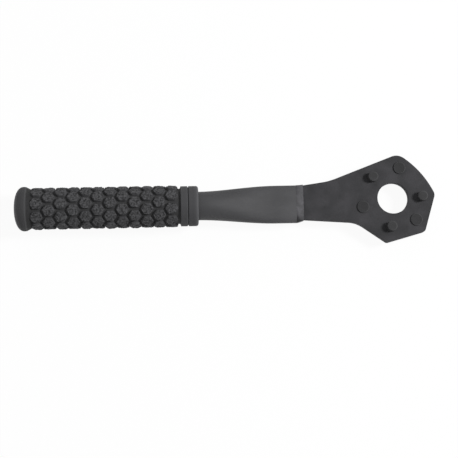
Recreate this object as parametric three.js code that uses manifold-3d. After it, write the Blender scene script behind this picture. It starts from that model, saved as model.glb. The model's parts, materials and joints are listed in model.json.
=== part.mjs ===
// Cassette pin wrench: a flat steel head with two sets of sprocket pins, welded to a
// flattened steel tube with a studded rubber grip.
// Millimetres, +Z up. The wrench lies on a bench with its head towards +X and its grip
// towards -X. The origin is on the bench, under the middle of the wrench.

import * as THREE from 'three';
import { mergeVertices } from 'three/addons/utils/BufferGeometryUtils.js';
import Module from 'manifold-3d';

const wasm = await Module();
wasm.setup();

// Sprocket pins: three for an 11-tooth sprocket in front, three for a 12-tooth one behind
const chainPitch = 12.7;
const frontTeeth = 11;
const rearTeeth = 12;
const pinsPerSet = 3;
const toothStep = 4;           // tooth gaps from one pin of a set to the next
const frontTurn = 2;           // degrees from the handle line to the first front pin
const rearTurn = 75.5;         // degrees from the handle line to the first rear pin
const pitchPlay = 0.3;         // how far the pins stand outside the pitch circle
const pinDiameter = 7.75;      // as a chain roller
const pinHeight = 5.3;
const pinChamfer = 0.7;
const pinShoulder = 0.6;       // step from the pin down to its shank in the plate
const rivetRim = 0.9;          // how far the riveted head stands out past the pin
const rivetHeight = 1.2;
const rivetEdge = 0.35;

// Head plate
const plateThickness = 5;
const holeDiameter = 24.5;
const holeOffset = 3.1;        // hole centre above the handle line
const headReach = 76;          // hole centre to the mouth of the tube
const topLand = 11;            // plate beyond a pin circle, at each corner of the head
const browLand = 7.5;
const noseLand = 10.9;
const lowerLand = 11.3;
const heelLand = 12.9;
const topTurn = 5.3;           // degrees from the pin to its corner of the head
const browTurn = 5;
const noseTurn = 2.8;
const lowerTurn = -3.6;
const heelTurn = -4.1;
const topRound = 10;
const browRound = 70;
const noseRound = 6;
const lowerRound = 3.5;
const heelRound = 3;
const upperBend = 50.1;        // hole centre back to the bend in the neck's upper edge
const upperBendRise = 17.4;    // that bend above the handle line
const upperBendRound = 50;
const lowerBend = 29.6;
const lowerBendDrop = 15.6;
const lowerBendRound = 22;
const neckInsetTop = 1;        // edges of the neck inside those of the flattened tube
const neckInsetBottom = 2.6;

// Handle tube
const tubeDiameter = 22.2;
const tubeWall = 1.8;
const flatLength = 16.6;       // flattened stretch at the mouth
const flareLength = 60;        // stretch where the round tube turns flat
const plainLength = 0.3;       // round stretch that shows outside the grip
const tangEndGap = 1;

// Weld bead round the neck, at the mouth of the tube
const beadLength = 4.8;
const beadToe = 0.35;

// Rubber grip
const gripLength = 141.6;
const gripWall = 3.1;
const gripEndWall = 7;
const domeDepth = 7.8;
const flangeHeight = 2.7;      // flange, rings and studs: height above the sleeve
const flangeBand = 2;
const flangeTaper = 5.6;
const ringHeight = 1.1;
const outerRingLength = 7.6;
const innerRingLength = 5.4;
const ringGroove = 0.7;
const ringGrooveDepth = 0.9;
const ringEdge = 0.8;
const mouthRound = 1.8;        // rounding of the outer ring at the open end
const studSides = 6;
const studHeight = 2;
const studWidth = 8.3;         // across the flats, at the top
const studDraft = 0.5;
const studRoot = 0.6;          // depth of a stud's root in the sleeve
const studsPerRow = 9;
const studTurn = 25;           // degrees from the head's upper side to a stud beside the rings
const studPitch = 9.36;
const studEndGap = 1.6;        // last row of studs to the rings

// Clearance between pieces that are pressed, welded or pulled together
const fitGap = 0.3;

// Facets
const roundSides = 36;
const pinSides = 20;
const domeSteps = 6;
const flareSteps = 12;
const cornerSteps = 4;
const arcSteps = 12;
const holeSteps = 64;
const mergeDistance = 1e-5;

// Sizes that follow from the driving dimensions
const mouthHeight = plateThickness + 2 * fitGap + 2 * tubeWall;
const mouthWidth = (Math.PI * tubeDiameter - (Math.PI - 2) * mouthHeight) / 2;
const tangWidth = mouthWidth - mouthHeight;
const mouthX = -headReach;
const flareEndX = mouthX - flatLength;
const flareStartX = flareEndX - flareLength;
const gripOpenX = flareStartX - plainLength;
const gripTipX = gripOpenX - gripLength;
const tubeEndX = gripTipX + gripEndWall + fitGap;
const boreRadius = tubeDiameter / 2 + fitGap;
const sleeveRadius = boreRadius + gripWall;
const flangeRadius = sleeveRadius + flangeHeight;
const flangeX = gripTipX + domeDepth;
const frontRadius = pinCircle(frontTeeth);
const rearRadius = pinCircle(rearTeeth);
const frontAngles = pinAngles(frontTeeth, frontTurn);
const rearAngles = pinAngles(rearTeeth, rearTurn);
const pinRadius = pinDiameter / 2;
const shankRadius = pinRadius - pinShoulder;
const rivetRadius = pinRadius + rivetRim;
const pinTop = plateThickness / 2 + pinHeight;

// Radius of the circle that a set of pins stands on
function pinCircle(teeth) {
  return chainPitch / 2 / Math.sin(Math.PI / teeth) + pitchPlay;
}

// Directions of a set's pins from the hole centre, in radians
function pinAngles(teeth, turn) {
  const angles = [];
  for (let i = 0; i < pinsPerSet; i += 1) {
    angles.push(THREE.MathUtils.degToRad(turn) + i * toothStep * 2 * Math.PI / teeth);
  }
  return angles;
}

// A point in the plate's plane, from the hole centre
function fromHole(angle, radius) {
  return new THREE.Vector2(radius * Math.cos(angle), holeOffset + radius * Math.sin(angle));
}

// A closed geometry as a solid for joining and cutting
function toSolid(geometry) {
  const bare = geometry.clone();
  bare.deleteAttribute('normal');
  bare.deleteAttribute('uv');
  const merged = mergeVertices(bare, mergeDistance);
  const corners = merged.index.array;
  const triangles = [];
  for (let i = 0; i < corners.length; i += 3) {
    const [a, b, c] = corners.slice(i, i + 3);
    if (a !== b && b !== c && c !== a) {
      triangles.push(a, b, c);
    }
  }
  return new wasm.Manifold(new wasm.Mesh({
    numProp: 3,
    vertProperties: new Float32Array(merged.attributes.position.array),
    triVerts: new Uint32Array(triangles),
  }));
}

// A solid as a geometry for a mesh
function toGeometry(solid) {
  const mesh = solid.getMesh();
  const geometry = new THREE.BufferGeometry();
  geometry.setAttribute('position', new THREE.BufferAttribute(mesh.vertProperties, 3));
  geometry.setIndex(new THREE.BufferAttribute(mesh.triVerts, 1));
  geometry.computeVertexNormals();
  return geometry;
}

// A closed skin through rings of points, where the last ring joins the first again
function ringSkin(rings) {
  const count = rings[0].length;
  const positions = [];
  const triangles = [];
  for (const ring of rings) {
    for (const point of ring) {
      positions.push(point.x, point.y, point.z);
    }
  }
  for (let r = 0; r < rings.length; r += 1) {
    const here = r * count;
    const there = ((r + 1) % rings.length) * count;
    for (let i = 0; i < count; i += 1) {
      const j = (i + 1) % count;
      triangles.push(here + i, here + j, there + j);
      triangles.push(here + i, there + j, there + i);
    }
  }
  const geometry = new THREE.BufferGeometry();
  geometry.setAttribute('position', new THREE.Float32BufferAttribute(positions, 3));
  geometry.setIndex(triangles);
  return geometry;
}

// An outline with rounded corners, as a shape: each corner has a point and a radius
function roundedShape(corners) {
  const count = corners.length;
  const bends = corners.map(({ point, round }, i) => {
    const before = corners[(i + count - 1) % count].point;
    const after = corners[(i + 1) % count].point;
    const arriving = point.clone().sub(before);
    const leaving = after.clone().sub(point);
    const turn = Math.atan2(arriving.cross(leaving), arriving.dot(leaving));
    const tangent = round * Math.tan(Math.abs(turn) / 2);
    return { point, arriving, leaving, turn, tangent };
  });
  const edgeShare = bends.map(({ leaving, tangent }, i) => {
    const room = leaving.length();
    return Math.min(1, room / Math.max(tangent + bends[(i + 1) % count].tangent, Number.EPSILON));
  });
  const shape = new THREE.Shape();
  bends.forEach(({ point, arriving, leaving, turn, tangent }, i) => {
    const reach = tangent * Math.min(edgeShare[i], edgeShare[(i + count - 1) % count]);
    const start = point.clone().addScaledVector(arriving.clone().normalize(), -reach);
    const end = point.clone().addScaledVector(leaving.clone().normalize(), reach);
    if (i === 0) {
      shape.moveTo(start.x, start.y);
    } else {
      shape.lineTo(start.x, start.y);
    }
    if (reach > 0) {
      const radius = reach / Math.tan(Math.abs(turn) / 2);
      const side = Math.sign(turn);
      const heading = arriving.angle();
      const centre = start.clone();
      centre.x -= side * radius * Math.sin(heading);
      centre.y += side * radius * Math.cos(heading);
      const first = heading - side * Math.PI / 2;
      shape.absarc(centre.x, centre.y, radius, first, first + turn, side < 0);
      shape.lineTo(end.x, end.y);
    }
  });
  shape.closePath();
  return shape;
}

// A lathe profile of (radius, x) points, turned about the handle line
function turned(profile, sides) {
  const points = profile.map(([radius, x]) => new THREE.Vector2(radius, x));
  return new THREE.LatheGeometry(points, sides).rotateZ(-Math.PI / 2);
}

// The neck's half widths at its shoulder, above and below the handle line
const neckTop = mouthWidth / 2 - neckInsetTop;
const neckBottom = mouthWidth / 2 - neckInsetBottom;
const shoulderX = mouthX + fitGap;
const bendTop = new THREE.Vector2(-upperBend, upperBendRise);
const bendBottom = new THREE.Vector2(-lowerBend, -lowerBendDrop);

// Head plate: tang, neck and five-sided head, with the middle hole and six pin holes
function headPlate() {
  const [nose, , heel] = frontAngles;
  const [top, , lower] = rearAngles;
  const tangX = flareEndX + tangEndGap;
  const square = (x, y) => ({ point: new THREE.Vector2(x, y), round: 0 });
  const corner = (angle, turn, radius, round) => ({
    point: fromHole(angle + THREE.MathUtils.degToRad(turn), radius),
    round,
  });
  const outline = roundedShape([
    square(tangX, -tangWidth / 2),
    square(shoulderX, -tangWidth / 2),
    square(shoulderX, -neckBottom),
    { point: bendBottom, round: lowerBendRound },
    corner(heel, heelTurn, frontRadius + heelLand, heelRound),
    corner(lower, lowerTurn, rearRadius + lowerLand, lowerRound),
    corner(nose, noseTurn, frontRadius + noseLand, noseRound),
    corner((nose + top) / 2, browTurn, rearRadius + browLand, browRound),
    corner(top, topTurn, rearRadius + topLand, topRound),
    { point: bendTop, round: upperBendRound },
    square(shoulderX, neckTop),
    square(shoulderX, tangWidth / 2),
    square(tangX, tangWidth / 2),
  ]);
  const blank = new THREE.ExtrudeGeometry(outline, {
    depth: plateThickness,
    bevelEnabled: false,
    curveSegments: arcSteps,
  }).translate(0, 0, -plateThickness / 2);
  const drill = (centre, radius, sides) => toSolid(
    new THREE.CylinderGeometry(radius, radius, 2 * plateThickness, sides)
      .rotateX(Math.PI / 2)
      .translate(centre.x, centre.y, 0),
  );
  let plate = toSolid(blank).subtract(drill(fromHole(0, 0), holeDiameter / 2, holeSteps));
  for (const angle of frontAngles) {
    plate = plate.subtract(drill(fromHole(angle, frontRadius), shankRadius + fitGap, pinSides));
  }
  for (const angle of rearAngles) {
    plate = plate.subtract(drill(fromHole(angle, rearRadius), shankRadius + fitGap, pinSides));
  }
  return toGeometry(plate);
}

// A sprocket pin standing along +Z: chamfered end, shoulder, shank and riveted head
function sprocketPin() {
  const face = plateThickness / 2;
  const seat = face + fitGap;
  const rivetEnd = -face - rivetHeight;
  const profile = [
    [0, rivetEnd],
    [rivetRadius - rivetEdge, rivetEnd],
    [rivetRadius, rivetEnd + rivetEdge],
    [rivetRadius, -seat],
    [shankRadius, -seat],
    [shankRadius, seat],
    [pinRadius, seat],
    [pinRadius, pinTop - pinChamfer],
    [pinRadius - pinChamfer, pinTop],
    [0, pinTop],
  ];
  const points = profile.map(([radius, z]) => new THREE.Vector2(radius, z));
  return toGeometry(toSolid(new THREE.LatheGeometry(points, pinSides).rotateX(Math.PI / 2)));
}

// A cross-section of the tube: two half circles, apart by the flat between them
function tubeSection(x, width, height, inset) {
  const radius = height / 2 - inset;
  const flat = (width - height) / 2;
  const ring = [];
  for (let i = 0; i < roundSides; i += 1) {
    const angle = (i + 0.5) * 2 * Math.PI / roundSides;
    const across = Math.cos(angle);
    ring.push(new THREE.Vector3(x, Math.sign(across) * flat + radius * across, radius * Math.sin(angle)));
  }
  return ring;
}

// Handle tube: round in the grip, then pressed flat towards its mouth at a constant girth
function handleTube() {
  const stations = [[tubeEndX, 0]];
  for (let i = 0; i <= flareSteps; i += 1) {
    stations.push([flareStartX + flareLength * i / flareSteps, i / flareSteps]);
  }
  stations.push([mouthX, 1]);
  const skinAt = (inset) => stations.map(([x, share]) => {
    const width = THREE.MathUtils.lerp(tubeDiameter, mouthWidth, THREE.MathUtils.smoothstep(share, 0, 1));
    const height = (Math.PI * tubeDiameter - 2 * width) / (Math.PI - 2);
    return tubeSection(x, width, height, inset);
  });
  const outside = skinAt(0);
  const inside = skinAt(tubeWall).reverse();
  return toGeometry(toSolid(ringSkin([...outside, ...inside])));
}

// A rounded oblong across the handle line, from -bottom to top and from -half to half
function oblong(x, top, bottom, half, round) {
  const ring = [];
  const centres = [
    [top - round, half - round, 0],
    [round - bottom, half - round, 1],
    [round - bottom, round - half, 2],
    [top - round, round - half, 3],
  ];
  for (const [y, z, quarter] of centres) {
    for (let i = 0; i <= cornerSteps; i += 1) {
      const angle = (quarter + i / cornerSteps) * Math.PI / 2;
      ring.push(new THREE.Vector3(x, y + round * Math.cos(angle), z + round * Math.sin(angle)));
    }
  }
  return ring;
}

// Weld bead: a tapering collar that fills the step from the tube down to the neck
function weldBead() {
  const toeX = shoulderX + beadLength;
  const edgeAt = (x, start, bend) => THREE.MathUtils.mapLinear(x, shoulderX, bend.x, start, Math.abs(bend.y));
  const neckAt = (x, margin, half, round) => oblong(
    x,
    edgeAt(x, neckTop, bendTop) + margin,
    edgeAt(x, neckBottom, bendBottom) + margin,
    half,
    round,
  );
  const inner = plateThickness / 2 + fitGap;
  const crest = oblong(
    shoulderX,
    Math.max(mouthWidth / 2, neckTop + fitGap + beadToe),
    Math.max(mouthWidth / 2, neckBottom + fitGap + beadToe),
    mouthHeight / 2,
    tubeWall,
  );
  return toGeometry(toSolid(ringSkin([
    crest,
    neckAt(toeX, fitGap + beadToe, inner + beadToe, beadToe),
    neckAt(toeX, fitGap, inner, fitGap / 2),
    neckAt(shoulderX, fitGap, inner, fitGap / 2),
  ])));
}

// Grip: one rubber moulding with a domed end flange, two end rings and rows of six-sided studs
function grip() {
  const ringRadius = sleeveRadius + ringHeight;
  const outerRingX = gripOpenX - outerRingLength;
  const innerRingEndX = outerRingX - ringGroove;
  const innerRingX = innerRingEndX - innerRingLength;
  const taperX = flangeX + flangeBand;
  const profile = [];
  for (let i = 0; i <= domeSteps; i += 1) {
    const angle = i / domeSteps * Math.PI / 2;
    profile.push([flangeRadius * Math.sin(angle), flangeX - domeDepth * Math.cos(angle)]);
  }
  profile.push(
    [flangeRadius, taperX],
    [sleeveRadius, taperX + flangeTaper],
    [sleeveRadius, innerRingX],
    [ringRadius, innerRingX + ringEdge],
    [ringRadius, innerRingEndX],
    [ringRadius - ringGrooveDepth, innerRingEndX],
    [ringRadius - ringGrooveDepth, outerRingX],
    [ringRadius, outerRingX],
  );
  for (let i = 0; i <= cornerSteps; i += 1) {
    const angle = i / cornerSteps * Math.PI / 2;
    const sink = mouthRound * (1 - Math.cos(angle));
    profile.push([ringRadius - sink, gripOpenX - mouthRound * (1 - Math.sin(angle))]);
  }
  profile.push(
    [boreRadius, gripOpenX],
    [boreRadius, gripTipX + gripEndWall],
    [0, gripTipX + gripEndWall],
  );
  let moulding = toSolid(turned(profile, roundSides));

  const studTop = Math.sqrt((sleeveRadius + studHeight) ** 2 - (studWidth / 2) ** 2);
  const studFoot = sleeveRadius - studRoot;
  const toCorner = 1 / Math.cos(Math.PI / studSides);
  const stud = new THREE.CylinderGeometry(
    studWidth / 2 * toCorner,
    (studWidth / 2 + studDraft) * toCorner,
    studTop - studFoot,
    studSides,
  ).translate(0, (studTop + studFoot) / 2, 0);
  const studHalf = (studWidth / 2 + studDraft) * toCorner;
  const lastX = innerRingX - studEndGap - studHalf;
  const firstX = taperX + studHalf;
  const rows = Math.floor((lastX - firstX) / studPitch) + 1;
  const along = new THREE.Vector3(1, 0, 0);
  for (let row = 0; row < rows; row += 1) {
    for (let i = 0; i < studsPerRow; i += 1) {
      const angle = THREE.MathUtils.degToRad(studTurn) + (i + (row % 2) / 2) * 2 * Math.PI / studsPerRow;
      const outward = new THREE.Vector3(0, Math.cos(angle), Math.sin(angle));
      const sideways = outward.clone().cross(along);
      const place = new THREE.Matrix4().makeBasis(sideways, outward, along);
      place.setPosition(lastX - row * studPitch, 0, 0);
      moulding = moulding.add(toSolid(stud.clone().applyMatrix4(place)));
    }
  }
  return toGeometry(moulding);
}

const blackSteel = { color: 0x3d3e40, roughness: 0.6, metalness: 0.55 };
const weldedSteel = { color: 0x56575a, roughness: 0.55, metalness: 0.55 };
const blackRubber = { color: 0x343537, roughness: 0.85, metalness: 0 };

function piece(name, geometry, finish) {
  const mesh = new THREE.Mesh(geometry, new THREE.MeshStandardMaterial(finish));
  mesh.name = name;
  return mesh;
}

const tool = new THREE.Group();
tool.add(
  piece('head_plate', headPlate(), blackSteel),
  piece('handle_tube', handleTube(), blackSteel),
  piece('weld_bead', weldBead(), weldedSteel),
  piece('rubber_grip', grip(), blackRubber),
);
frontAngles.forEach((angle, i) => {
  const centre = fromHole(angle, frontRadius);
  const pin = piece(`front_pin_${i + 1}`, sprocketPin(), blackSteel);
  pin.position.set(centre.x, centre.y, 0);
  tool.add(pin);
});
rearAngles.forEach((angle, i) => {
  const centre = fromHole(angle, rearRadius);
  const pin = piece(`rear_pin_${i + 1}`, sprocketPin(), blackSteel);
  pin.position.set(centre.x, centre.y, 0);
  pin.rotation.x = Math.PI;
  tool.add(pin);
});

// The wrench rests on its flange and on the rear pin that stands furthest forward
const pinReach = Math.max(...rearAngles.map((angle) => fromHole(angle, rearRadius).x));
const restX = pinReach + pinRadius - pinChamfer;
tool.rotation.y = Math.atan2(flangeRadius - pinTop, restX - flangeX);

const wrench = new THREE.Group();
wrench.add(tool);
const box = new THREE.Box3().setFromObject(wrench, true);
const middle = box.getCenter(new THREE.Vector3());
tool.position.set(-middle.x, -middle.y, -box.min.z);

export default wrench;
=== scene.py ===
# Looks of the cassette wrench: fine meshes, finishes, floor, light and camera.
# Metres. Every piece is built in the wrench's own axes and then laid on the bench as the frame
# lies: X along the handle with 0 at the hole, Y across the head from the handle line, Z square
# to the plate on the side of the tall pins.

import json
import math

import bmesh
import bpy
import numpy as np
from mathutils import Matrix, Vector, geometry, noise


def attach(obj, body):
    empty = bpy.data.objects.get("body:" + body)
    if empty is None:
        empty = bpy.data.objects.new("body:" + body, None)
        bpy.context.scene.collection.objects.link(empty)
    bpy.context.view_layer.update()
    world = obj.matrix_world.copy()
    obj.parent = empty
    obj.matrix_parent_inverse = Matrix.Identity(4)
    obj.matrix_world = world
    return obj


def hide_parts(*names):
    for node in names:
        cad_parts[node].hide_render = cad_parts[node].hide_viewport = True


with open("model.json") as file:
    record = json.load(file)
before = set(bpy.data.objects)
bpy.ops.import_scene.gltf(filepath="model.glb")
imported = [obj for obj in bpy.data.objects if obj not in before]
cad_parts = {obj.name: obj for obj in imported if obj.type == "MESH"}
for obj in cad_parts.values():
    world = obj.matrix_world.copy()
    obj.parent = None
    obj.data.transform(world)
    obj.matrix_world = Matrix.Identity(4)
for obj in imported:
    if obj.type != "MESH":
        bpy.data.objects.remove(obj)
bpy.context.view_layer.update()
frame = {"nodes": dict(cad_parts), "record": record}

# Head and pins
HOLE_OFFSET = 0.0031           # hole centre above the handle line
PLATE_EDGE = 0.00025           # rounding of the plate's edges
PIN_BEVEL = 0.0009             # bevel round a pin's end: its width and its drop
PIN_BEVEL_DROP = 0.0004
PIN_EDGE = 0.0003              # rounding of the edges of the bevels
PIN_SIDES = 72
PIN_STEP = PIN_BEVEL / 3       # longest step along a pin's outline
RIVET_RIM = 0.0009             # how far a riveted head stands out past its pin
RIVET_HEIGHT = 0.0012
RIVET_BEVEL = 0.0006           # bevel round a riveted head: its width and its drop
RIVET_BEVEL_DROP = RIVET_BEVEL / 2
SHANK_STEP = 0.0006            # step from a pin down to its shank in the plate

# Handle tube
TUBE_DIAMETER = 0.0222
TUBE_WALL = 0.0018
TUBE_EDGE = 0.0005             # rounding of the tube's mouth
TUBE_SIDES = 144
FIT_GAP = 0.0003               # clearance between the CAD pieces
FLAT_LENGTH = 0.0166           # flattened stretch at the mouth
FLARE_LENGTH = 0.060           # stretch where the round tube turns flat
FLARE_STEPS = 48
ROUND_POWER = 2                # power of a round section, and of the flattened one at the mouth
FLAT_POWER = 3.4

# Weld bead
BEAD_TOE = 0.0006              # height of the bead's toe above the plate
BEAD_ROOT = 0.0003             # how far the bead bites into the plate
BEAD_LAP = 0.00002             # how far it lies over the tube's rim
BEAD_FALL = 1.2                # power of its fall from the tube to the plate
BEAD_STEPS = 22
BEAD_SIDES = 240
TOE_POWER = 16                 # power of the bead's section at its toe, close to the plate's own
TOE_SWAY = 0.0005              # how far the toe wanders along the neck
TOE_BENDS = (0.0035, 0.0014)   # sizes of its wide and its narrow bends
NARROW_BEND = 0.5              # share that a narrow bend has of a wide one
BEAD_LUMP = 0.00011            # height of the lumps on the bead
BEAD_LUMPS = (0.0016, 0.0007)  # sizes of the large and the small ones
SMALL_LUMP = 0.6               # share that a small lump has of a large one

# Grip
DOME_DEPTH = 0.0078
DOME_POWER = 2.3               # power of the dome's outline, blunter than an ellipse
DOME_STEPS = 40
BOX_PLAY = 0.00005             # dome and flange inside the CAD ones, so both stay in its box
FLANGE_HEIGHT = 0.0027
FLANGE_BAND = 0.002
FLANGE_TAPER = 0.0056
FLANGE_FALL = 0.00025          # fall of the band towards its edge
FLANGE_LIP = 0.0004            # step down behind that edge
FLANGE_EDGE = 0.0003
TAPER_ROUND = 0.004
RING_HEIGHT = 0.0011
OUTER_RING = 0.0076
INNER_RING = 0.0054
RING_GROOVE = 0.0007
RING_GROOVE_DEPTH = 0.0009
RING_EDGE = 0.0004
MOUTH_EDGE = 0.0018            # rounding of the outer ring at the open end
END_WALL = 0.007
STUD_HEIGHT = 0.002
STUD_WIDTH = 0.0083
STUD_DRAFT = 0.0005
STUDS_PER_ROW = 9
STUD_TURN = math.radians(25)
STUD_PITCH = 0.00936
STUD_END_GAP = 0.0016
STUD_WALL = 0.0007             # width of a stud's sloping side, seen from above
STUD_ROUNDNESS = 14            # power that rounds a stud's six corners
VALLEY_DEPTH = 0.0008          # how far the sleeve sinks between the studs
PEBBLE_SIZE = 0.0013           # pebbles on a stud's top, and how deep it is between them
PEBBLE_DEPTH = 0.000455
SWELL_SIZE = 0.0026            # wider swells under the pebbles
SWELL_HEIGHT = 0.000245
PEBBLE_START = 0.05            # share of a stud's height below which it is smooth
GRIP_SIDES = 336
GRIP_STEP = 0.00033            # longest step along the grip's outline

# Wear and painted light, from -1 where a finish is half as light to 1 where it is half as light again
# lighter bevels of the pins and riveted heads: painted highlight
BEVEL_PAINTED_HIGHLIGHT = 0.8
RIVET_WEAR = -0.45
# lighter along the tube's flattened stretch
FLAT_TUBE_LIGHTENING = 0.45
BEAD_END_PAINTED_SHADE = -1             # painted shade where the bead runs out at the neck's lower edge
BEAD_END = 0.003               # width of that end
DOME_TIP_PAINTED_LIGHT = 0.8                # painted light at the dome's tip
TAPER_PAINTED_SHADE = -0.9              # painted shade behind the flange, as the first studs' shadow
# lighter edges of the rubber: partly wear, partly painted highlight
FLANGE_EDGE_WEAR_AND_HIGHLIGHT = 1.0
RING_EDGE_WEAR_AND_HIGHLIGHT = 0.8
OPEN_END_WEAR_AND_HIGHLIGHT = 1.1
RUBBED_AND_LIT_EDGE = 0.0008           # width of the lighter line along an edge of the flange or a ring, partly wear and partly painted highlight
RUBBED_AND_LIT_RIM = 0.0036            # and of the one at the open end

# Crown, from 0 in the grooves of the grip to 1 on its studs; the grooves' darker colour is painted
# shade and the dome's rise to its tip is painted light
# the dome's colour rises from this at the flange to the plain one at its tip: painted light
FLANGE_CROWN = 0.15
PLAIN_CROWN = 0.5              # rings and the dome's tip

# Colours of the finishes, dark and light
HEAD_COLOURS = ((0.034, 0.034, 0.036), (0.052, 0.051, 0.055))
PIN_COLOURS = ((0.035, 0.035, 0.036), (0.044, 0.044, 0.046))
TUBE_COLOURS = ((0.039, 0.039, 0.041), (0.052, 0.052, 0.055))
WELD_COLOURS = ((0.051, 0.051, 0.054), (0.088, 0.086, 0.094))
# grooves darker than the studs: painted shade
GROOVE_PAINTED_SHADE_COLOUR = (0.036, 0.036, 0.037)
PLAIN_COLOUR = (0.053, 0.053, 0.056)
STUD_COLOUR = (0.041, 0.041, 0.043)
WHITE = (1, 1, 1, 1)

# Floor and light
FLOOR_HALF = 6
FLOOR_COLOUR = (0.95, 0.95, 0.95, 1)
SHADOW_SHARE = 0.06            # how much of the wrench's shadow the white floor keeps
AMBIENT = 0.22
LAMPS = (                      # name, place, size and watts
    ("key", (1.58, 0.25, 1.63), 0.55, 47.5),
    ("fill", (-0.1, 1.2, 1.05), 1.2, 3.2),
    ("bounce", (-0.1, -1.2, 0.7), 1.2, 1),
    ("rim", (-1.5, 0, 0.5), 1, 4),
)

# The photograph's view of the hole's front rim
VIEW_YAW = math.radians(3.35)
VIEW_LEAN = math.radians(8.964)
VIEW_ROLL = math.radians(1.639)
VIEW_DISTANCE = 0.8238
HOLE_RIGHT = 0.1287            # hole right of the middle of the picture, and above it
HOLE_UP = 0.0243
FOCAL_PIXELS = 1050
PICTURE_PIXELS = 458

ARC_STEPS = 8
FULL_TURN = 2 * math.pi
SHARP_ANGLE = math.radians(50)  # edges that turn more than this stay crisp


def rest_matrix():
    """The wrench's own axes as the frame lays them on the bench."""
    record = frame["record"]
    seat = next(mount for mount in record["mounts"] if mount["name"] == "front_sprocket_seat")
    normal = Vector(seat["axis"]).normalized()
    across = Vector((0, 1, 0))
    turn = Matrix((across.cross(normal), across, normal)).transposed().to_4x4()
    low, high = (Vector(corner) for corner in record["physics"]["openings"][0]["box_m"])
    handle_point = (low + high) / 2 - across * HOLE_OFFSET
    return Matrix.Translation(handle_point) @ turn


REST = rest_matrix()


def span(node):
    """Lowest and highest corner of a CAD node in the wrench's own axes."""
    back = REST.inverted()
    points = np.array([back @ vertex.co for vertex in frame["nodes"][node].data.vertices])
    return Vector(points.min(axis=0)), Vector(points.max(axis=0))


# Places that follow from the CAD nodes

PLATE_HALF = (span("head_plate")[1].z - span("head_plate")[0].z) / 2
MOUTH_X = span("handle_tube")[1].x
MOUTH_HEIGHT = 2 * (PLATE_HALF + FIT_GAP + TUBE_WALL)
MOUTH_WIDTH = (math.pi * TUBE_DIAMETER - (math.pi - 2) * MOUTH_HEIGHT) / 2
FLARE_X = MOUTH_X - FLAT_LENGTH - FLARE_LENGTH

GRIP_LOW, GRIP_HIGH = span("rubber_grip")
FLANGE_RADIUS = GRIP_HIGH.z - BOX_PLAY
SLEEVE_RADIUS = GRIP_HIGH.z - FLANGE_HEIGHT
RING_RADIUS = SLEEVE_RADIUS + RING_HEIGHT
TIP_X = GRIP_LOW.x + BOX_PLAY
FLANGE_X = GRIP_LOW.x + DOME_DEPTH
TAPER_X = FLANGE_X + FLANGE_BAND
OPEN_X = GRIP_HIGH.x
OUTER_RING_X = OPEN_X - OUTER_RING
GROOVE_X = OUTER_RING_X - RING_GROOVE
INNER_RING_X = GROOVE_X - INNER_RING


# Mesh helpers

def smooth_share(value):
    """0 below 0, 1 above 1 and an even S between."""
    value = np.clip(value, 0, 1)
    return value * value * (3 - 2 * value)


def quarter_arc(radius):
    """Steps round a rounded edge, each as its distances inside the two faces that meet there."""
    steps = []
    for i in range(ARC_STEPS + 1):
        angle = i / ARC_STEPS * math.pi / 2
        steps.append((radius * (1 - math.sin(angle)), radius * (1 - math.cos(angle))))
    return steps


def skin_faces(count, around, closed):
    """Quads between rings of points; closed joins the last ring to the first again."""
    faces = []
    for ring in range(count if closed else count - 1):
        here = ring * around
        there = (ring + 1) % count * around
        for i in range(around):
            j = (i + 1) % around
            faces.append((here + i, here + j, there + j, there + i))
    return faces


def fan_faces(start, around, pole):
    """Triangles from a ring of points to a point on the axis."""
    return [(start + i, start + (i + 1) % around, pole) for i in range(around)]


def rounded_path(corners, longest):
    """Points along straight runs with rounded corners. A corner is (first, second, radius)."""
    path = [Vector(corners[0][:2])]
    for before, here, after in zip(corners, corners[1:], corners[2:]):
        corner, radius = Vector(here[:2]), here[2]
        arriving = (corner - Vector(before[:2])).normalized()
        leaving = (Vector(after[:2]) - corner).normalized()
        turn = arriving.angle_signed(leaving, 0)
        if radius == 0 or turn == 0:
            path.append(corner)
            continue
        start = corner - arriving * radius * math.tan(abs(turn) / 2)
        side = Vector((arriving.y, -arriving.x)) * math.copysign(radius, turn)
        for i in range(ARC_STEPS + 1):
            swing = Matrix.Rotation(-turn * i / ARC_STEPS, 2)
            path.append(start + side - swing @ side)
    path.append(Vector(corners[-1][:2]))
    points = [path[0]]
    for begin, end in zip(path, path[1:]):
        pieces = max(1, math.ceil((end - begin).length / longest))
        points += [begin.lerp(end, i / pieces) for i in range(1, pieces + 1)]
    return points


def add_piece(name, vertices, faces, replaced, finish, flat_faces=0):
    """A closed mesh that rides on the wrench in place of a CAD node.
    The first flat_faces faces are flat and the rest are smooth."""
    mesh = bpy.data.meshes.new(name)
    mesh.from_pydata(np.asarray(vertices, float).tolist(), [], faces)
    mesh.transform(REST)
    shape = bmesh.new()
    shape.from_mesh(mesh)
    bmesh.ops.recalc_face_normals(shape, faces=shape.faces)
    shape.to_mesh(mesh)
    shape.free()
    smooth = np.ones(len(mesh.polygons), bool)
    smooth[:flat_faces] = False
    mesh.polygons.foreach_set("use_smooth", smooth)
    mesh.materials.append(finish)
    piece = bpy.data.objects.new(name, mesh)
    bpy.context.scene.collection.objects.link(piece)
    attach(piece, "root")
    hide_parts(replaced)
    return piece


def add_attribute(piece, name, values):
    """A value for each of a piece's first vertices, and 0 for the rest."""
    filled = np.zeros(len(piece.data.vertices), np.float32)
    filled[:np.size(values)] = np.ravel(values)
    piece.data.attributes.new(name, "FLOAT", "POINT").data.foreach_set("value", filled)


def wobble(point, size, seed):
    """Seeded noise from -1 to 1 with lumps of about that size."""
    return noise.noise(Vector(point) / size + Vector((seed, -seed, 2 * seed)))


# Head plate

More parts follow.
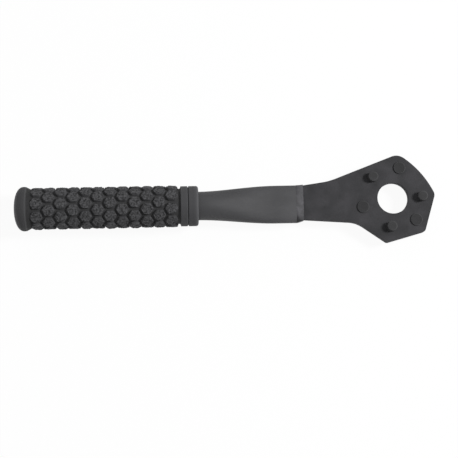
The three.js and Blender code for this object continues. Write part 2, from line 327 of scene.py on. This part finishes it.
def face_loops(node, height):
    """Edge loops of a CAD node's flat face at that height, with the material on their left."""
    same_point, same_height, facing_up = FIT_GAP / 100, FIT_GAP / 10, 0.99
    shape = bmesh.new()
    shape.from_mesh(frame["nodes"][node].data)
    bmesh.ops.transform(shape, matrix=REST.inverted(), verts=shape.verts)
    bmesh.ops.remove_doubles(shape, verts=shape.verts, dist=same_point)
    shape.normal_update()
    on_face = {
        face for face in shape.faces
        if face.normal.z > facing_up and abs(face.calc_center_median().z - height) < same_height
    }
    following = {}
    for face in on_face:
        for corner in face.loops:
            beyond = [other for other in corner.edge.link_faces if other is not face]
            if not any(other in on_face for other in beyond):
                following[corner.vert] = corner.link_loop_next.vert
    loops = []
    while following:
        here, after = following.popitem()
        loop = [here.co.xy]
        while after in following:
            loop.append(after.co.xy)
            after = following.pop(after)
        loops.append([point.copy() for point in loop])
    shape.free()
    return sorted(loops, key=lambda loop: min(point.x for point in loop))


def inset_loop(loop, distance):
    """The loop moved into the material on its left by that distance."""
    moved = []
    for i, point in enumerate(loop):
        arriving = (point - loop[i - 1]).normalized()
        leaving = (loop[(i + 1) % len(loop)] - point).normalized()
        left = Vector((-arriving.y, arriving.x))
        next_left = Vector((-leaving.y, leaving.x))
        moved.append(point + (left + next_left) * (distance / (1 + left.dot(next_left))))
    return moved


def head_plate(finish):
    """The plate with its middle hole and pin holes, and every edge rounded."""
    loops = face_loops("head_plate", PLATE_HALF)
    sizes = [len(loop) for loop in loops]
    total = sum(sizes)
    profile = [(inset, PLATE_HALF - drop) for inset, drop in quarter_arc(PLATE_EDGE)]
    profile += [(inset, -z) for inset, z in reversed(profile)]
    vertices = []
    for inset, z in profile:
        for loop in loops:
            vertices += [(point.x, point.y, z) for point in inset_loop(loop, inset)]
    face_points = [
        [Vector((*point, 0)) for point in inset_loop(loop, PLATE_EDGE)] for loop in loops
    ]
    triangles = geometry.tessellate_polygon(face_points)
    last = (len(profile) - 1) * total
    faces = [tuple(triangle) for triangle in triangles]
    faces += [tuple(last + i for i in reversed(triangle)) for triangle in triangles]
    flat_count = len(faces)
    for level in range(len(profile) - 1):
        start = level * total
        for size in sizes:
            for i in range(size):
                j = (i + 1) % size
                faces.append((start + i, start + j, start + total + j, start + total + i))
            start += size
    return add_piece(
        "head_plate_finished", vertices, faces, "head_plate", finish, flat_count
    )


# Pins

def sprocket_pin(node, finish):
    """A turned pin with a bevelled end, seated on the plate, and its riveted head."""
    low, high = span(node)
    centre = (low + high) / 2
    side = 1 if high.z > -low.z else -1
    top = max(high.z, -low.z)
    rivet_radius = (high.x - low.x) / 2
    pin_radius = rivet_radius - RIVET_RIM
    shank_radius = pin_radius - SHANK_STEP
    rivet_end = -PLATE_HALF - RIVET_HEIGHT
    profile = rounded_path([
        (0, rivet_end, 0),
        (rivet_radius - RIVET_BEVEL, rivet_end, PIN_EDGE),
        (rivet_radius, rivet_end + RIVET_BEVEL_DROP, PIN_EDGE),
        (rivet_radius, -PLATE_HALF, 0),
        (shank_radius, -PLATE_HALF, 0),
        (shank_radius, PLATE_HALF, 0),
        (pin_radius, PLATE_HALF, 0),
        (pin_radius, top - PIN_BEVEL_DROP, PIN_EDGE),
        (pin_radius - PIN_BEVEL, top, PIN_EDGE),
        (0, top, 0),
    ], PIN_STEP)
    rings = []
    wear_and_painted_light = []
    for radius, z in profile[1:-1]:
        on_pin_bevel = radius > pin_radius - PIN_BEVEL and z > top - PIN_BEVEL_DROP
        on_rivet_bevel = radius > rivet_radius - RIVET_BEVEL and z < rivet_end + RIVET_BEVEL_DROP
        amount = RIVET_WEAR if z < -PLATE_HALF else 0
        # bevels lighter all round: painted highlight
        if on_pin_bevel or on_rivet_bevel:
            amount = BEVEL_PAINTED_HIGHLIGHT
        for i in range(PIN_SIDES):
            angle = i * FULL_TURN / PIN_SIDES
            rings.append((
                centre.x + radius * math.cos(angle),
                centre.y + radius * math.sin(angle),
                side * z,
            ))
            wear_and_painted_light.append(amount)
    ring_count = len(profile) - 2
    ends = [(centre.x, centre.y, side * profile[0].y), (centre.x, centre.y, side * profile[-1].y)]
    wear_and_painted_light += [RIVET_WEAR, 0]
    first_pole = len(rings)
    faces = skin_faces(ring_count, PIN_SIDES, closed=False)
    faces += fan_faces(0, PIN_SIDES, first_pole)
    faces += fan_faces((ring_count - 1) * PIN_SIDES, PIN_SIDES, first_pole + 1)
    piece = add_piece(node + "_finished", rings + ends, faces, node, finish)
    piece.data.set_sharp_from_angle(angle=SHARP_ANGLE)
    add_attribute(piece, "wear_and_painted_light", wear_and_painted_light)
    return piece


# Handle tube

def flat_section(x, top, bottom, half, power, sides):
    """Points round a flattened section from -bottom to top and -half to half.
    Its outline is an ellipse at power 2 and squarer at higher powers."""
    middle, reach = (top - bottom) / 2, (top + bottom) / 2
    ring = []
    for i in range(sides):
        angle = (i + 0.5) * FULL_TURN / sides
        share = math.cos(angle)
        rise = half * (1 - abs(share) ** power) ** (1 / power)
        ring.append((x, middle + reach * share, math.copysign(rise, math.sin(angle))))
    return ring


def tube_section(x, inset):
    """Points round the tube at x, at that depth under its skin."""
    share = float(smooth_share((x - FLARE_X) / FLARE_LENGTH))
    width = TUBE_DIAMETER + share * (MOUTH_WIDTH - TUBE_DIAMETER)
    height = (math.pi * TUBE_DIAMETER - 2 * width) / (math.pi - 2)
    reach = width / 2 - inset
    power = ROUND_POWER + share * (FLAT_POWER - ROUND_POWER)
    return flat_section(x, reach, reach, height / 2 - inset, power, TUBE_SIDES)


def handle_tube(finish):
    """Tube that is round in the grip and pressed flat at its mouth, whose rim is rounded."""
    stations = [span("handle_tube")[0].x]
    stations += [FLARE_X + FLARE_LENGTH * i / FLARE_STEPS for i in range(FLARE_STEPS + 1)]
    stations.append(MOUTH_X - TUBE_EDGE)
    rings = [tube_section(x, 0) for x in stations]
    rings += [tube_section(MOUTH_X - short, inset) for short, inset in quarter_arc(TUBE_EDGE)[1:]]
    rings.append(tube_section(MOUTH_X, TUBE_WALL))
    rings += [tube_section(x, TUBE_WALL) for x in reversed(stations)]
    faces = skin_faces(len(rings), TUBE_SIDES, closed=True)
    vertices = np.array(rings).reshape(-1, 3)
    piece = add_piece(
        "handle_tube_finished", vertices, faces, "handle_tube", finish
    )
    piece.data.set_sharp_from_angle(angle=SHARP_ANGLE)
    flattened = (vertices[:, 0] - FLARE_X) / FLARE_LENGTH
    # lighter towards the flattened mouth
    add_attribute(piece, "wear_and_painted_light", FLAT_TUBE_LIGHTENING * smooth_share(2 * flattened - 1))
    return piece


# Weld bead

def neck_edges(outline, x):
    """The neck's upper and lower edge at x, as distances from the handle line."""
    heights = []
    for i, point in enumerate(outline):
        before = outline[i - 1]
        if (before.x - x) * (point.x - x) < 0:
            heights.append(before.lerp(point, (x - before.x) / (point.x - before.x)).y)
    return max(heights), -min(heights)


def uneven(point, share):
    """A point of the bead moved by its toe's sway and its lumps, which grow towards the toe."""
    x, y, z = point
    wide, narrow = TOE_BENDS
    sway = wobble((0, y, z), wide, seed=3) + NARROW_BEND * wobble((0, y, z), narrow, seed=5)
    large, small = BEAD_LUMPS
    lump = wobble(point, large, seed=7) + SMALL_LUMP * wobble(point, small, seed=9)
    away = Vector((y, z)).normalized() * BEAD_LUMP * lump * share
    return x + TOE_SWAY * sway * share, y + away.x, z + away.y


def weld_bead(finish):
    """Dressed bead from the tube's mouth down to the neck, with an uneven toe and faint lumps."""
    outline = face_loops("head_plate", PLATE_HALF)[0]
    toe_x = span("weld_bead")[1].x
    neck_x = MOUTH_X + 2 * FIT_GAP
    inside_x = MOUTH_X - BEAD_ROOT
    crest_x = MOUTH_X - TUBE_EDGE
    reach, half = MOUTH_WIDTH / 2 + BEAD_LAP, MOUTH_HEIGHT / 2 + BEAD_LAP
    rings = []
    for step in range(BEAD_STEPS + 1):
        share = step / BEAD_STEPS
        x = crest_x + share * (toe_x - crest_x)
        neck_top, neck_bottom = neck_edges(outline, max(x, neck_x))
        fall = share ** BEAD_FALL
        ring = flat_section(
            x,
            reach + fall * (neck_top + BEAD_TOE - reach),
            reach + fall * (neck_bottom + BEAD_TOE - reach),
            half + fall * (PLATE_HALF + BEAD_TOE - half),
            FLAT_POWER + share * (TOE_POWER - FLAT_POWER),
            BEAD_SIDES,
        )
        rings.append([uneven(point, share) for point in ring])
    for x in (toe_x + BEAD_TOE / 2, inside_x):
        neck_top, neck_bottom = neck_edges(outline, max(x, neck_x))
        rings.append(flat_section(
            x,
            neck_top - BEAD_ROOT,
            neck_bottom - BEAD_ROOT,
            PLATE_HALF - BEAD_ROOT,
            TOE_POWER,
            BEAD_SIDES,
        ))
    in_wall = reach - TUBE_WALL / 2
    rings.append(
        flat_section(inside_x, in_wall, in_wall, half - TUBE_WALL / 2, FLAT_POWER, BEAD_SIDES)
    )
    faces = skin_faces(len(rings), BEAD_SIDES, closed=True)
    vertices = [point for ring in rings for point in ring]
    piece = add_piece("weld_bead_finished", vertices, faces, "weld_bead", finish)
    piece.data.set_sharp_from_angle(angle=SHARP_ANGLE)
    # painted shade at the bead's lower end
    lowest = np.array(vertices)[:, 1] + reach
    add_attribute(piece, "wear_and_painted_light", BEAD_END_PAINTED_SHADE * smooth_share(2 - lowest / BEAD_END))
    return piece


# Rubber grip

def grip_outline():
    """Places and radii from the dome's tip to the bore at the open end, without the studs."""
    edge_radius = FLANGE_RADIUS - FLANGE_FALL
    groove_radius = RING_RADIUS - RING_GROOVE_DEPTH
    corners = []
    for i in range(DOME_STEPS):
        angle = i / DOME_STEPS * math.pi / 2
        corners.append((
            FLANGE_X - (FLANGE_X - TIP_X) * math.cos(angle) ** (2 / DOME_POWER),
            FLANGE_RADIUS * math.sin(angle) ** (2 / DOME_POWER),
            0,
        ))
    corners += [
        (FLANGE_X, FLANGE_RADIUS, 0),
        (TAPER_X, edge_radius, FLANGE_EDGE),
        (TAPER_X + FLANGE_LIP, edge_radius - FLANGE_LIP, FLANGE_EDGE),
        (TAPER_X + FLANGE_TAPER / 2, (edge_radius + SLEEVE_RADIUS) / 2, TAPER_ROUND),
        (TAPER_X + FLANGE_TAPER, SLEEVE_RADIUS, FLANGE_EDGE),
        (INNER_RING_X, SLEEVE_RADIUS, RING_EDGE),
        (INNER_RING_X, RING_RADIUS, RING_EDGE),
        (GROOVE_X, RING_RADIUS, RING_EDGE),
        (GROOVE_X, groove_radius, 0),
        (OUTER_RING_X, groove_radius, 0),
        (OUTER_RING_X, RING_RADIUS, RING_EDGE),
        (OPEN_X, RING_RADIUS, MOUTH_EDGE),
        (OPEN_X, TUBE_DIAMETER / 2, 0),
    ]
    path = np.array(rounded_path(corners, GRIP_STEP))[1:]
    return path[:, :1], path[:, 1:]


def stud_field(x, turn):
    """Height share of the studs and the radius of their flat tops, at points x, turn."""
    stud_half = (STUD_WIDTH / 2 + STUD_DRAFT) / math.cos(math.pi / 6)
    last_x = INNER_RING_X - STUD_END_GAP - stud_half
    first_x = TAPER_X + stud_half
    rows = int((last_x - first_x) // STUD_PITCH) + 1
    step = FULL_TURN / STUDS_PER_ROW
    top_plane = math.sqrt((SLEEVE_RADIUS + STUD_HEIGHT) ** 2 - (STUD_WIDTH / 2) ** 2)
    half = (STUD_WIDTH + STUD_DRAFT) / 2
    share = np.zeros(np.broadcast(x, turn).shape)
    top = np.full(share.shape, SLEEVE_RADIUS)
    nearest = np.floor((last_x - x) / STUD_PITCH)
    for row in (nearest, nearest + 1):
        there = (row >= 0) & (row < rows)
        along = x - (last_x - row * STUD_PITCH)
        swing = turn - STUD_TURN - (row % 2) / 2 * step
        swing = (swing + step / 2) % step - step / 2
        across = swing * top_plane
        reach = np.zeros(share.shape)
        for angle in (math.radians(90), math.radians(150), math.radians(210)):
            reach += np.abs(along * math.cos(angle) + across * math.sin(angle)) ** STUD_ROUNDNESS
        reach = reach ** (1 / STUD_ROUNDNESS)
        here = smooth_share((half - reach) / STUD_WALL + 0.5) * there
        higher = here > share
        share = np.where(higher, here, share)
        top = np.where(higher, top_plane / np.cos(swing), top)
    return share, top


def stud_pebbles(x, turn, share):
    """Height of the pebbles and swells on the studs, at points x, turn."""
    height = np.zeros(share.shape)
    for i, j in np.argwhere(share > PEBBLE_START):
        across, up = math.cos(turn[0, j]), math.sin(turn[0, j])
        spot = Vector((x[i, 0], SLEEVE_RADIUS * across, SLEEVE_RADIUS * up))
        pit = noise.voronoi(spot / PEBBLE_SIZE)[0][0]
        height[i, j] = SWELL_HEIGHT * wobble(spot, SWELL_SIZE, seed=13) - PEBBLE_DEPTH * pit
    return height


def grip_crown_and_painted_light(x, share):
    """Crown of the rubber: the dome rises to its tip as painted light, the rings are plain, the studs
    as they stand.
    """
    # the dome lightens towards its tip: painted light
    dome = smooth_share((FLANGE_X - x) / DOME_DEPTH)
    flange = FLANGE_CROWN + (PLAIN_CROWN - FLANGE_CROWN) * dome
    return np.where(x < TAPER_X, flange, np.where(x > INNER_RING_X, PLAIN_CROWN, share))


def grip_wear_and_painted_light(x, radius, share):
    """Wear and painted light of the rubber: painted shade behind the flange, edges lighter from wear
    and painted highlight, and painted light at the dome's tip.
    """
    # painted shade on the taper behind the flange
    on_taper = (x > TAPER_X) & (x < TAPER_X + FLANGE_TAPER) & (share == 0)
    wear_and_painted_light = np.where(on_taper, TAPER_PAINTED_SHADE, 0)
    # lighter edges, partly wear and partly painted highlight
    for edge_x, width, amount in (
        (TAPER_X, RUBBED_AND_LIT_EDGE, FLANGE_EDGE_WEAR_AND_HIGHLIGHT),
        (GROOVE_X, RUBBED_AND_LIT_EDGE, RING_EDGE_WEAR_AND_HIGHLIGHT),
        (OPEN_X, RUBBED_AND_LIT_RIM, OPEN_END_WEAR_AND_HIGHLIGHT),
    ):
        near = np.clip(1 - np.abs(edge_x - x) / width, 0, 1) * (radius > SLEEVE_RADIUS)
        wear_and_painted_light = np.where(near > 0, np.maximum(wear_and_painted_light, amount * near), wear_and_painted_light)
    # painted light towards the dome's tip
    return np.where(x < FLANGE_X, DOME_TIP_PAINTED_LIGHT * smooth_share((FLANGE_X - x) / DOME_DEPTH), wear_and_painted_light)


def rubber_grip(finish):
    """One moulding: domed flange, studded sleeve with pebbled stud tops, and two end rings."""
    x, radius = grip_outline()
    turn = np.linspace(0, FULL_TURN, GRIP_SIDES, endpoint=False)[None, :]
    share, top = stud_field(x, turn)
    sink = smooth_share((x - TAPER_X) / FLANGE_TAPER)
    sink = sink * smooth_share((INNER_RING_X - x) / VALLEY_DEPTH)
    radius = radius - VALLEY_DEPTH * sink
    share = share * (top > radius)
    top = top + stud_pebbles(x, turn, share)
    lifted = radius + share * (top - radius)
    rings = np.stack([
        np.broadcast_to(x, lifted.shape), lifted * np.cos(turn), lifted * np.sin(turn),
    ], axis=-1)
    end_x = GRIP_LOW.x + END_WALL
    bore_ring = rings[-1].copy()
    bore_ring[:, 0] = end_x
    vertices = np.concatenate([
        rings.reshape(-1, 3), bore_ring, [(TIP_X, 0, 0)], [(end_x, 0, 0)],
    ])
    ring_count = len(rings) + 1
    pole = ring_count * GRIP_SIDES
    faces = skin_faces(ring_count, GRIP_SIDES, closed=False)
    faces += fan_faces(0, GRIP_SIDES, pole)
    faces += fan_faces(pole - GRIP_SIDES, GRIP_SIDES, pole + 1)
    piece = add_piece(
        "rubber_grip_finished", vertices, faces, "rubber_grip", finish
    )
    add_attribute(piece, "crown_and_painted_light", grip_crown_and_painted_light(x, share))
    add_attribute(piece, "wear_and_painted_light", grip_wear_and_painted_light(x, radius, share))
    return piece


# Finishes

def new_finish(name):
    """An empty node material: its nodes, its links and its shader."""
    finish = bpy.data.materials.new(name)
    finish.use_nodes = True
    nodes = finish.node_tree.nodes
    return finish, nodes, finish.node_tree.links, nodes["Principled BSDF"]


def add_noise(nodes, links, scale, detail, stretch=None):
    """Noise in the wrench's own metres, drawn out along the handle where stretch is given."""
    place = nodes.new("ShaderNodeTexCoord")
    texture = nodes.new("ShaderNodeTexNoise")
    texture.inputs["Scale"].default_value = scale
    texture.inputs["Detail"].default_value = detail
    if stretch is None:
        links.new(place.outputs["Object"], texture.inputs["Vector"])
    else:
        mapping = nodes.new("ShaderNodeMapping")
        mapping.inputs["Scale"].default_value = (stretch, 1, 1)
        links.new(place.outputs["Object"], mapping.inputs["Vector"])
        links.new(mapping.outputs["Vector"], texture.inputs["Vector"])
    return texture.outputs["Fac"]


def add_ramp(nodes, links, source, stops):
    """Colour ramp over a value. A stop is (place, colour)."""
    ramp = nodes.new("ShaderNodeValToRGB")
    while len(ramp.color_ramp.elements) < len(stops):
        ramp.color_ramp.elements.new(0.5)
    for element, (place, colour) in zip(ramp.color_ramp.elements, stops):
        element.position = place
        element.color = (*colour, 1)
    links.new(source, ramp.inputs["Fac"])
    return ramp.outputs["Color"]


def add_grey_ramp(nodes, links, source, stops):
    """Ramp of greys over a value. A stop is (place, grey)."""
    return add_ramp(nodes, links, source, [(place, (grey, grey, grey)) for place, grey in stops])


def add_range(nodes, links, source, low, high, start=0):
    """A value from start to 1 mapped to low to high."""
    mapped = nodes.new("ShaderNodeMapRange")
    mapped.inputs["From Min"].default_value = start
    mapped.inputs["To Min"].default_value = low
    mapped.inputs["To Max"].default_value = high
    links.new(source, mapped.inputs["Value"])
    return mapped.outputs["Result"]


def add_product(nodes, links, first, second, share=None):
    """Two colours multiplied, by as much as the share where one is given.
    The colour sockets share their names with others, so they go by number."""
    mix = nodes.new("ShaderNodeMix")
    mix.data_type = "RGBA"
    mix.blend_type = "MULTIPLY"
    factor, a, b = mix.inputs[0], mix.inputs[6], mix.inputs[7]
    factor.default_value = 1
    if share is not None:
        links.new(share, factor)
    links.new(first, a)
    links.new(second, b)
    return mix.outputs[2]


def add_bump(nodes, links, source, depth, before=None):
    """Relief of that depth from a value, on top of an earlier relief."""
    bump = nodes.new("ShaderNodeBump")
    bump.inputs["Distance"].default_value = depth
    links.new(source, bump.inputs["Height"])
    if before is not None:
        links.new(before, bump.inputs["Normal"])
    return bump.outputs["Normal"]


def read_attribute(nodes, name):
    """A mesh's value of that name, or 0 where it has none."""
    attribute = nodes.new("ShaderNodeAttribute")
    attribute.attribute_name = name
    return attribute.outputs["Fac"]


def wear_and_light_share(nodes, links):
    """Colour factor from a mesh's wear and painted light: half at -1, plain at 0 and half as light
    again at 1.
    """
    return add_range(nodes, links, read_attribute(nodes, "wear_and_painted_light"), 0.5, 1.5, start=-1)


def coated_steel(name, colours, rough, gloss=0.1, clouds_scale=90, stretch=None):
    """Matt black coating on steel: cloudy colour, fine grain and a faint peel."""
    rough_spread, peel_depth, grain_depth = 0.06, 0.00004, 0.00003
    finish, nodes, links, shader = new_finish(name)
    clouds = add_noise(nodes, links, clouds_scale, detail=5, stretch=stretch)
    grain = add_noise(nodes, links, scale=2600, detail=3)
    peel = add_noise(nodes, links, scale=700, detail=2)
    cloudy = add_ramp(nodes, links, clouds, list(zip((0.3, 0.7), colours)))
    speckle = add_grey_ramp(nodes, links, grain, [(0.25, 0.72), (0.8, 1.25)])
    # wear and painted light that the mesh carries
    cloudy = add_product(nodes, links, cloudy, wear_and_light_share(nodes, links))
    links.new(add_product(nodes, links, cloudy, speckle), shader.inputs["Base Color"])
    dullness = add_range(nodes, links, clouds, rough + rough_spread, rough - rough_spread)
    links.new(dullness, shader.inputs["Roughness"])
    relief = add_bump(nodes, links, peel, peel_depth)
    links.new(add_bump(nodes, links, grain, grain_depth, relief), shader.inputs["Normal"])
    shader.inputs["Specular IOR Level"].default_value = gloss
    return finish


def moulded_rubber(name):
    """Black rubber: grooves darker as painted shade, rough stud tops speckled partly with dust and
    partly with painted glints, and smooth plain rings.
    """
    dull, less_dull, grit_depth, skin_depth, gloss = 0.85, 0.65, 0.00008, 0.00003, 0.2
    finish, nodes, links, shader = new_finish(name)
    crown_and_painted_light = read_attribute(nodes, "crown_and_painted_light")
    grit = add_noise(nodes, links, scale=750, detail=4)
    skin = add_noise(nodes, links, scale=3000, detail=2)
    # grooves darker: painted shade
    depth = add_ramp(nodes, links, crown_and_painted_light, [
        (0, GROOVE_PAINTED_SHADE_COLOUR), (PLAIN_CROWN, PLAIN_COLOUR), (1, STUD_COLOUR),
    ])
    depth = add_product(nodes, links, depth, wear_and_light_share(nodes, links))
    # speckles on the studs: partly dust, partly painted glints
    dust_and_painted_glints = add_grey_ramp(nodes, links, grit, [(0.36, 0.35), (0.64, 2)])
    on_stud = add_range(nodes, links, crown_and_painted_light, 0, 1, start=PLAIN_CROWN)
    links.new(add_product(nodes, links, depth, dust_and_painted_glints, on_stud), shader.inputs["Base Color"])
    links.new(add_range(nodes, links, grit, dull, less_dull), shader.inputs["Roughness"])
    relief = add_bump(nodes, links, grit, grit_depth)
    links.new(add_bump(nodes, links, skin, skin_depth, relief), shader.inputs["Normal"])
    shader.inputs["Specular IOR Level"].default_value = gloss
    return finish


# Floor, light and camera

def seen_directly(nodes, links):
    """1 for rays from the camera, or from a gloss or glass, and 0 for the rest."""
    path = nodes.new("ShaderNodeLightPath")
    total = path.outputs["Is Camera Ray"]
    for name in ("Is Glossy Ray", "Is Transmission Ray"):
        higher = nodes.new("ShaderNodeMath")
        higher.operation = "MAXIMUM"
        links.new(total, higher.inputs[0])
        links.new(path.outputs[name], higher.inputs[1])
        total = higher.outputs[0]
    return total


def pale_floor():
    """White floor that keeps a soft shadow of the wrench."""
    mesh = bpy.data.meshes.new("floor")
    corners = [(-1, -1, 0), (1, -1, 0), (1, 1, 0), (-1, 1, 0)]
    mesh.from_pydata([Vector(corner) * FLOOR_HALF for corner in corners], [], [(0, 1, 2, 3)])
    finish, nodes, links, shader = new_finish("pale_floor")
    shader.inputs["Base Color"].default_value = FLOOR_COLOUR
    shader.inputs["Roughness"].default_value = 0.9
    shader.inputs["Specular IOR Level"].default_value = 0
    glow = nodes.new("ShaderNodeEmission")
    share = nodes.new("ShaderNodeMath")
    share.operation = "MULTIPLY"
    share.inputs[1].default_value = 1 - SHADOW_SHARE
    links.new(seen_directly(nodes, links), share.inputs[0])
    mix = nodes.new("ShaderNodeMixShader")
    links.new(share.outputs[0], mix.inputs[0])
    links.new(shader.outputs[0], mix.inputs[1])
    links.new(glow.outputs[0], mix.inputs[2])
    links.new(mix.outputs[0], nodes["Material Output"].inputs["Surface"])
    mesh.materials.append(finish)
    floor = bpy.data.objects.new("floor", mesh)
    bpy.context.scene.collection.objects.link(floor)


def add_lamp(name, place, size, watts):
    """A square lamp that faces the middle of the wrench."""
    lamp = bpy.data.lights.new(name, "AREA")
    lamp.size = size
    lamp.energy = watts
    holder = bpy.data.objects.new(name, lamp)
    holder.location = place
    holder.rotation_euler = Vector(place).to_track_quat("Z", "Y").to_euler()
    bpy.context.scene.collection.objects.link(holder)


def soft_light():
    """Even white surroundings, a strong lamp off the head's end and weak ones on the other sides."""
    world = bpy.data.worlds.new("studio")
    bpy.context.scene.world = world
    world.use_nodes = True
    nodes, links = world.node_tree.nodes, world.node_tree.links
    ambient = nodes["Background"]
    ambient.inputs["Strength"].default_value = AMBIENT
    ambient.inputs["Color"].default_value = WHITE
    white = nodes.new("ShaderNodeBackground")
    white.inputs["Color"].default_value = WHITE
    mix = nodes.new("ShaderNodeMixShader")
    links.new(seen_directly(nodes, links), mix.inputs[0])
    links.new(ambient.outputs[0], mix.inputs[1])
    links.new(white.outputs[0], mix.inputs[2])
    links.new(mix.outputs[0], nodes["World Output"].inputs["Surface"])
    for lamp in LAMPS:
        add_lamp(*lamp)


def photo_camera():
    """Camera at the photograph's place, worked out from its view of the hole."""
    turn = (
        Matrix.Rotation(VIEW_ROLL, 3, "Z")
        @ Matrix.Rotation(-VIEW_LEAN, 3, "X")
        @ Matrix.Rotation(VIEW_YAW, 3, "Y")
    )
    hole_rim = Vector((0, HOLE_OFFSET, PLATE_HALF))
    eye = hole_rim + turn.transposed() @ Vector((-HOLE_RIGHT, -HOLE_UP, VIEW_DISTANCE))
    camera = bpy.data.objects.new("camera", bpy.data.cameras.new("camera"))
    camera.data.lens = camera.data.sensor_width * FOCAL_PIXELS / PICTURE_PIXELS
    camera.matrix_world = REST @ Matrix.Translation(eye) @ turn.transposed().to_4x4()
    bpy.context.scene.collection.objects.link(camera)
    bpy.context.scene.camera = camera


photo_camera()
pale_floor()
soft_light()
bpy.context.scene.view_settings.view_transform = "Standard"

head_plate(coated_steel("head_steel", HEAD_COLOURS, rough=0.62))
pin_steel = coated_steel("pin_steel", PIN_COLOURS, rough=0.6)
for group in ("front", "rear"):
    for number in (1, 2, 3):
        sprocket_pin(f"{group}_pin_{number}", pin_steel)
handle_tube(coated_steel("tube_steel", TUBE_COLOURS, rough=0.55, gloss=0.27, stretch=0.4))
weld_bead(coated_steel("weld", WELD_COLOURS, rough=0.5, clouds_scale=240))
rubber_grip(moulded_rubber("grip_rubber"))
